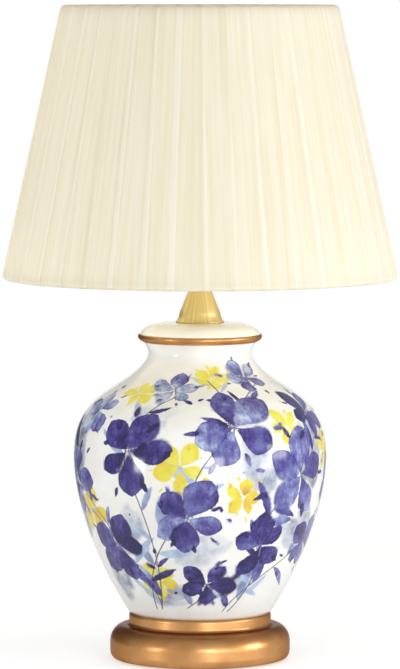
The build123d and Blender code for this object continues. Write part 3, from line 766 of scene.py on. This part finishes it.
# A rubber cushion centres the jar on the base, and a threaded tube with a nut and a washer at
# each end ties the base, the jar and the lid together. These are of zinc-plated steel.
zinc = plain_finish("zinc_plated_steel", [srgb(196, 197, 194)], 420.0, 2.0, (0.28, 0.48),
                    stretch=(1, 1, 6), others={"Metallic": 1.0})
rubber = plain_finish("cushion_rubber", [srgb(38, 38, 38)], 1100.0, 3.0, (0.62, 0.82))
dress(zinc, "base_washer", "base_nut", "hollow_rod", "lid_washer", "lid_nut")
dress(rubber, "jar_cushion")


# A turned ring in the base's bronze-gold paint sits on the jar's mouth, its spigot inside.
# The low domed lid on it is turned wood in smooth cream lacquer.
RING_ROUNDS = 144
RING_ROWS = 22
RING_LOW_RADIUS = 0.0584
RING_TOP_RADIUS = 0.0619
RING_BORE_RADIUS = 0.044
RING_SPIGOT_RADIUS = 0.0475
RING_SPIGOT_DEPTH = 0.006
RING_STEP = 0.0006
# Shares of the way out to the widest radius, and of the way up
RING_LOWER_SHARES = (0.56, 0.23)
RING_WIDEST_SHARE = 0.68
RING_UPPER_SHARE = 0.94
LID_ROWS = 30
LID_HEIGHT = 0.0118
LID_FLAT_RADIUS = 0.028
LID_BORE_RADIUS = 0.0056
LID_SPIGOT_RADIUS = RING_BORE_RADIUS - 0.0003
LID_SPIGOT_DEPTH = 0.004
LID_DOME_SHARES = [(0.02, 0.11), (0.09, 0.33), (0.18, 0.54), (0.28, 0.69), (0.41, 0.82),
                   (0.63, 0.92)]

ring_foot, ring_high, ring_radius = measures("neck_ring")
ring_low = ring_foot + RING_SPIGOT_DEPTH
ring_height = ring_high - ring_low
ring_face = smooth_curve([
    (RING_LOW_RADIUS, ring_low),
    (RING_LOW_RADIUS + RING_LOWER_SHARES[0] * (ring_radius - RING_LOW_RADIUS),
     ring_low + RING_LOWER_SHARES[1] * ring_height),
    (ring_radius, ring_low + RING_WIDEST_SHARE * ring_height),
    (ring_radius - RING_STEP, ring_low + RING_UPPER_SHARE * ring_height),
    (RING_TOP_RADIUS, ring_high)], RING_ROWS)
ring_outline = ([(RING_BORE_RADIUS, ring_low - RING_SPIGOT_DEPTH),
                 (RING_SPIGOT_RADIUS, ring_low - RING_SPIGOT_DEPTH),
                 (RING_SPIGOT_RADIUS, ring_low)]
                + ring_face + [(RING_BORE_RADIUS, ring_high)])
neck_ring = add_mesh("mouth_ring", spun(ring_outline, RING_ROUNDS), gilt)
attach(neck_ring, "lamp")
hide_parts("neck_ring")

lid_high, lid_radius = measures("lid")[1:]
lid_low = lid_high - LID_HEIGHT
lid_span = lid_radius - LID_FLAT_RADIUS
lid_dome = smooth_curve(
    [(lid_radius, lid_low)]
    + [(lid_radius - lid_span * r, lid_low + LID_HEIGHT * z) for r, z in LID_DOME_SHARES]
    + [(LID_FLAT_RADIUS, lid_high)], LID_ROWS)
lid_outline = ([(LID_BORE_RADIUS, lid_low - LID_SPIGOT_DEPTH),
                (LID_SPIGOT_RADIUS, lid_low - LID_SPIGOT_DEPTH), (LID_SPIGOT_RADIUS, lid_low)]
               + lid_dome + [(LID_BORE_RADIUS, lid_high)])
cream = plain_finish("cream_lacquer", [srgb(254, 252, 241), srgb(255, 254, 246)], 60.0, 3.0,
                     (0.16, 0.26), others={"Coat Weight": 0.4, "Coat Roughness": 0.06})
lid = add_mesh("domed_lid", spun(lid_outline, RING_ROUNDS), cream)
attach(lid, "lamp")
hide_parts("lid")


# The cone is spun from brass sheet over the nut, with a rolled bead at its foot, and brushed
# upwards. A turned brass bush clamps its top.
CONE_ROUNDS = 120
CONE_WALL = 0.0009
CONE_BEAD = 0.0006
CONE_BEAD_HEIGHT = 0.0014
CONE_BEAD_ANGLES = (-1.1, -0.55, 0, 0.55, 1.1)
CONE_TOP_RADIUS = 0.0068
CONE_TOP_ROUND = 0.0006
CONE_TOP_WALL = 0.0015
# The waist ends the flare: shares of the foot's radius and of the height, and how far the
# flare lies out and up from there just below it and just above it
CONE_WAIST_SHARES = (0.89, 0.17)
CONE_WAIST_BELOW = (0.0006, -0.003)
CONE_WAIST_ABOVE = (-0.0010, 0.003)
CONE_FLARE_FOOT = -0.0001
CONE_FLARE_ROWS = 10
CONE_SLOPE_ROWS = 8
BUSH_EDGE_ROUND = 0.0015
ROD_RADIUS = 0.00505


def arc(centre_r, centre_z, radius, start, end, steps=8):
    """Points of radius and height along a round arc, in degrees from the outward direction."""
    angles = [math.radians(start + (end - start) * i / steps) for i in range(steps + 1)]
    return [(centre_r + radius * math.cos(a), centre_z + radius * math.sin(a)) for a in angles]


def brushed_brass():
    """Brass with fine scratches that run upwards; each streak is lighter or darker and more or
    less dull."""
    paint = Finish("brushed_brass")
    around = paint.node("ShaderNodeVectorMath", {"operation": "NORMALIZE"},
                        {0: paint.place((1, 1, 0))})
    streaks = paint.noise(around, 42.0, 3.0, 0.65)
    broad = paint.noise(around, 7.0, 2.0)
    level = (streaks * 0.7 + broad * 0.3).step(0.28, 0.72)
    return paint.finished({"Base Color": level.mix(srgb(212, 180, 112), srgb(252, 236, 174)),
                           "Metallic": 1.0, "Roughness": 0.48 - level * 0.14,
                           "Normal": paint.bump(streaks, 0.20, 0.0002)})


cone_low, cone_high, cone_radius = measures("neck_cone")
cone_foot = cone_radius - CONE_BEAD
waist_r = cone_foot * CONE_WAIST_SHARES[0]
waist_z = cone_low + (cone_high - cone_low) * CONE_WAIST_SHARES[1]
bead_middle = cone_low + CONE_BEAD_HEIGHT / 2
cone_bead = [(cone_foot + CONE_BEAD * math.cos(a), bead_middle + CONE_BEAD_HEIGHT / 2 * math.sin(a))
             for a in CONE_BEAD_ANGLES]
cone_flare = smooth_curve([(cone_foot + CONE_FLARE_FOOT, cone_low + CONE_BEAD_HEIGHT)]
                          + [(waist_r + out, waist_z + up)
                             for out, up in (CONE_WAIST_BELOW, CONE_WAIST_ABOVE)],
                          CONE_FLARE_ROWS)
cone_slope = [(waist_r + (CONE_TOP_RADIUS - waist_r) * i / CONE_SLOPE_ROWS,
               waist_z + (cone_high - waist_z) * i / CONE_SLOPE_ROWS)
              for i in range(2, CONE_SLOPE_ROWS)]
cone_inside = [(CONE_TOP_RADIUS - CONE_WALL, cone_high - CONE_TOP_WALL),
               (waist_r - CONE_WALL + CONE_WAIST_ABOVE[0], waist_z + CONE_WAIST_ABOVE[1]),
               (cone_foot - CONE_WALL, cone_low + CONE_BEAD_HEIGHT)]
cone_outline = (
    [(cone_foot - CONE_WALL, cone_low), (cone_foot, cone_low)] + cone_bead + cone_flare + cone_slope
    + arc(CONE_TOP_RADIUS - CONE_TOP_ROUND, cone_high - CONE_TOP_ROUND, CONE_TOP_ROUND, 20, 90, 4)
    + [(ROD_RADIUS, cone_high), (ROD_RADIUS, cone_high - CONE_TOP_WALL)] + cone_inside
)
brass = brushed_brass()
cone = add_mesh("brass_cone", spun(cone_outline, CONE_ROUNDS), brass)
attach(cone, "lamp")
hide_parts("neck_cone")

bush_low, bush_high, bush_radius = measures("cone_bush")
bush_edge = bush_radius - BUSH_EDGE_ROUND
bush_outline = ([(ROD_RADIUS, bush_low)]
                + arc(bush_edge, bush_low + BUSH_EDGE_ROUND, BUSH_EDGE_ROUND, -90, 0)
                + arc(bush_edge, bush_high - BUSH_EDGE_ROUND, BUSH_EDGE_ROUND, 0, 90)
                + [(ROD_RADIUS, bush_high)])
bush = add_mesh("brass_bush", spun(bush_outline, CONE_ROUNDS), brass)
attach(bush, "lamp")
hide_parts("cone_bush")


# The lampholder: a pressed brass cap with the switch's boss, a moulded body with an outside
# thread, and inside it a fired block that carries the screw shell, the contact and the screws.
plain_brass = plain_finish("plain_brass", [srgb(206, 174, 98), srgb(224, 194, 120)], 240.0, 3.0,
                           (0.22, 0.38), others={"Metallic": 1.0})
steatite = plain_finish("fired_block", [srgb(222, 218, 206), srgb(236, 233, 224)], 700.0, 4.0, 0.7)
dress(plain_brass, "holder_cap", "screw_shell", "centre_contact", "terminal_screws",
      "switch_spindle")
dress(steatite, "holder_insert")
dress(ivory, "holder_body", "switch_knob", "shade_ring_nut")


# The shade's frame is welded from steel wire and powder-coated white, and a stiff translucent
# sheet is glued round its two rings.
wire = plain_finish("white_wire", [srgb(236, 234, 228)], 800.0, 3.0, (0.38, 0.52),
                    raised=(0.12, 0.0002))
lining = plain_finish("shade_lining", [srgb(247, 243, 230), srgb(252, 249, 240)], 120.0, 4.0, 0.62,
                      stretch=(1, 1, 0.4), sheer=(0.80, srgb(255, 253, 247)))
dress(wire, "shade_spider", "shade_bottom_ring", "shade_top_ring")
dress(lining, "shade_liner")


# The shade is covered with one long strip of sheer cloth, laid in forty knife pleats: each
# runs up to its fold, turns back under it and comes out again, and both edges turn round the
# rims and are glued inside.
CLOTH_FOOT_RADIUS = 0.2005
CLOTH_TOP_RADIUS = 0.140
ROWS_UP = 30
RIM_ROUND = 0.005
RIM_SHARES = (0.0, 0.25, 0.5, 0.75, 1.0)
HEM_HEIGHT = 0.0032
HEM_WIDTH = 0.005
# Heights off each rim within which the painted shade along the cloth's edge is full, and beyond
# which it is gone
RIM_SHADE_HEIGHTS = (0.0005, 0.0030)
PLEATS = 40
PLEAT_WIDE = math.pi * (CLOTH_FOOT_RADIUS + CLOTH_TOP_RADIUS) / PLEATS
PLEAT_TURN = math.radians(2.0)
PLEAT_STEP_LOW = 0.0012
PLEAT_STEP_HIGH = 0.0009
# How far a fold lies off its place at each rim, in pleats, and how full it is
PLEAT_LEAN = (-0.09, 0.09)
PLEAT_FULLNESS = (0.75, 1.2)
LAP_SHARE = 0.24
RUN_STEPS = 7
GATHER_DEPTH = 0.00022
# Across one pleat, from under the last one over its run and its fold to its hidden lap: share
# of the pleat's width, and share of the step between low and high
PLEAT_PATH = ([(-LAP_SHARE, 0.02), (-LAP_SHARE / 2, 0.12)]
              + [(i / RUN_STEPS, 0.26 + 0.66 * i / RUN_STEPS) for i in range(RUN_STEPS + 1)]
              + [(1.012, 0.97), (1.018, 0.88), (1.012, 0.68), (0.985, 0.50), (0.90, 0.40),
                 (1 - LAP_SHARE, 0.20), (1 - LAP_SHARE - 0.012, 0.10)])

cloth_low, cloth_high = measures("pleated_shade")[:2]
cloth_taper = (CLOTH_FOOT_RADIUS - CLOTH_TOP_RADIUS) / (cloth_high - cloth_low)


def cloth_rows():
    """Rows of the cloth from its inner bottom edge round both rims to its inner top edge:
    height, room taken off the radius, and how much of the pleats' depth is left."""
    rim = [(HEM_HEIGHT * 0.75, RIM_ROUND * 0.9 + HEM_WIDTH * 0.5, 0.0),
           (HEM_HEIGHT * 0.15, RIM_ROUND * 0.9 + HEM_WIDTH * 0.35, 0.15)]
    for share in RIM_SHARES:
        a = math.pi / 2 * share
        rim.append((RIM_ROUND * (1 - math.cos(a)) * 0.9, RIM_ROUND * (1 - math.sin(a)) * 0.8,
                    0.4 + 0.6 * share))
    start, end = cloth_low + RIM_ROUND, cloth_high - RIM_ROUND
    return ([(cloth_low + off_edge, taken_off, depth) for off_edge, taken_off, depth in rim]
            + [(start + (end - start) * (i + 0.5) / ROWS_UP, 0.0, 1.0) for i in range(ROWS_UP)]
            + [(cloth_high - off_edge, taken_off, depth)
               for off_edge, taken_off, depth in reversed(rim)])


def pleated_cloth(bm):
    """Lays a flat grid round the frame: across it run the pleats, and up it the rows."""
    rows = cloth_rows()
    across = len(PLEAT_PATH)
    columns = PLEATS * across
    bmesh.ops.create_grid(bm, x_segments=columns, y_segments=len(rows) - 1, size=1)
    share_layer = bm.verts.layers.float.new("pleat_share")
    strip_layer = bm.loops.layers.uv.new("strip")
    rule = random.Random(11)
    folds = [(rule.uniform(*PLEAT_LEAN), rule.uniform(*PLEAT_LEAN), rule.uniform(*PLEAT_FULLNESS))
             for i in range(PLEATS)]
    places = {}
    for vert in bm.verts:
        column = round((vert.co.x + 1) / 2 * columns)
        row = round((vert.co.y + 1) / 2 * (len(rows) - 1))
        height, taken_off, depth = rows[row]
        pleat, step = divmod(column, across)
        share, rise = PLEAT_PATH[step]
        up = (height - cloth_low) / (cloth_high - cloth_low)
        lean_low, lean_high, fullness = folds[(pleat if share > 0.5 else pleat - 1) % PLEATS]
        lean = lean_low + (lean_high - lean_low) * up
        deep = 1.0 if share < 0.5 else fullness
        full = CLOTH_FOOT_RADIUS - cloth_taper * (height - cloth_low) - taken_off
        deepest = PLEAT_STEP_LOW + (PLEAT_STEP_HIGH - PLEAT_STEP_LOW) * up
        radius = full - deepest * (1 - rise * depth * deep)
        turn = 2 * math.pi * (pleat + share + lean) / PLEATS + PLEAT_TURN
        places[vert.index] = (column, row)
        vert[share_layer] = share
        vert.co = (radius * math.cos(turn), radius * math.sin(turn), height)
    climbs = [0.0]
    for before, after in zip(rows[:-1], rows[1:]):
        climbs.append(climbs[-1] + math.hypot(after[0] - before[0], after[1] - before[1]))
    path = [0.0]
    next_start = (PLEAT_PATH[0][0] + 1, PLEAT_PATH[0][1])
    for (a, rise_a), (b, rise_b) in zip(PLEAT_PATH, PLEAT_PATH[1:] + [next_start]):
        path.append(path[-1] + math.hypot((b - a) * PLEAT_WIDE, (rise_b - rise_a) * PLEAT_STEP_LOW))
    for face in bm.faces:
        for loop in face.loops:
            column, row = places[loop.vert.index]
            pleat, step = divmod(column, across)
            loop[strip_layer].uv = (pleat * path[-1] + path[step], climbs[row])
    bmesh.ops.remove_doubles(bm, verts=bm.verts[:], dist=MERGE_DISTANCE)


def sheer_cloth():
    """Cream organza: fine gathers along the strip, lighter where it lies in three layers, with
    painted shadow where it comes out from under a fold and painted shade along its edges at the
    rims."""
    paint = Finish("sheer_cloth", 0.50, srgb(255, 252, 240))
    strip = paint.node("ShaderNodeUVMap", {"uv_map": "strip"})
    fine = paint.noise(paint.stretched(strip, (1300, 14, 1)), 1.0, 2.0)
    broad = paint.noise(paint.stretched(strip, (240, 5, 1)), 1.0, 2.0)
    uneven = paint.noise(paint.stretched(strip, (38, 0.6, 1)), 1.0, 1.0)
    share = paint.attribute("pleat_share")
    lapped = (share + (uneven - 0.5) * 1.3).step(0.84, 0.90)
    # Painted shadow of each fold on the cloth that comes out from under it
    fold_shadow = (1 - share.step(0.01, 0.07)) * (1 - share.step(0.95, 1.0))
    height = paint.height()
    # Painted shade along the cloth's edges at both rims
    full, gone = RIM_SHADE_HEIGHTS
    rim_shade = ((1 - height.step(cloth_low + full, cloth_low + gone))
             + height.step(cloth_high - gone, cloth_high - full))
    tone = (fine * 0.40 + broad * 0.60).step(0.32, 0.68)
    colour = tone.mix(srgb(238, 232, 210), srgb(253, 251, 244))
    colour = (lapped * (uneven.step(0.35, 0.65) * 0.5 + 0.45)).mix(colour, srgb(255, 255, 253))
    # Painted shadow beside each fold, then painted shade along the rims
    colour = (fold_shadow * 0.14).mix(colour, srgb(226, 218, 192))
    colour = (rim_shade * 0.25).mix(colour, srgb(204, 198, 174))
    return paint.finished({"Base Color": colour, "Roughness": 0.62, "Sheen Weight": 0.15,
                           "Sheen Roughness": 0.5,
                           "Normal": paint.bump(fine + broad * 0.8, 0.35, GATHER_DEPTH)})


cloth = add_mesh("pleated_cloth", pleated_cloth, sheer_cloth())
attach(cloth, "shade")
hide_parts("pleated_shade")


# The bulb: a rolled metal cap with a glass insulator and a solder tip, a flared plastic
# housing and an opal dome.
BULB_ROUNDS = 96
DOME_WALL = 0.0012
DOME_STEPS = 24
DOME_INSIDE_STEPS = 12
DOME_INSIDE_TOP = 86

nickel = plain_finish("nickel_cap", [srgb(202, 200, 195)], 300.0, 3.0, (0.24, 0.42),
                      others={"Metallic": 1.0})
black_glass = moulded_plastic("black_glass", srgb(26, 26, 28), 0.12)
bulb_white = moulded_plastic("bulb_white", srgb(238, 238, 235), 0.32)
opal = plain_finish("opal_plastic", [srgb(242, 242, 238), srgb(248, 248, 245)], 30.0, 2.0, 0.36)
dress(zinc, "bulb_contact")
dress(black_glass, "bulb_insulator")
dress(nickel, "bulb_screw_cap")
dress(bulb_white, "bulb_housing")
globe_low, globe_high, globe_radius = measures("bulb_globe")
dome_low = globe_high - globe_radius
globe_outline = ([(globe_radius - DOME_WALL, globe_low), (globe_radius, globe_low)]
                 + arc(0, dome_low, globe_radius, 0, 90, DOME_STEPS)[:-1]
                 + [(0, globe_high), (0, globe_high - DOME_WALL)]
                 + arc(0, dome_low, globe_radius - DOME_WALL, DOME_INSIDE_TOP, 0,
                       DOME_INSIDE_STEPS))
globe = add_mesh("opal_dome", spun(globe_outline, BULB_ROUNDS), opal)
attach(globe, "bulb")
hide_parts("bulb_globe")
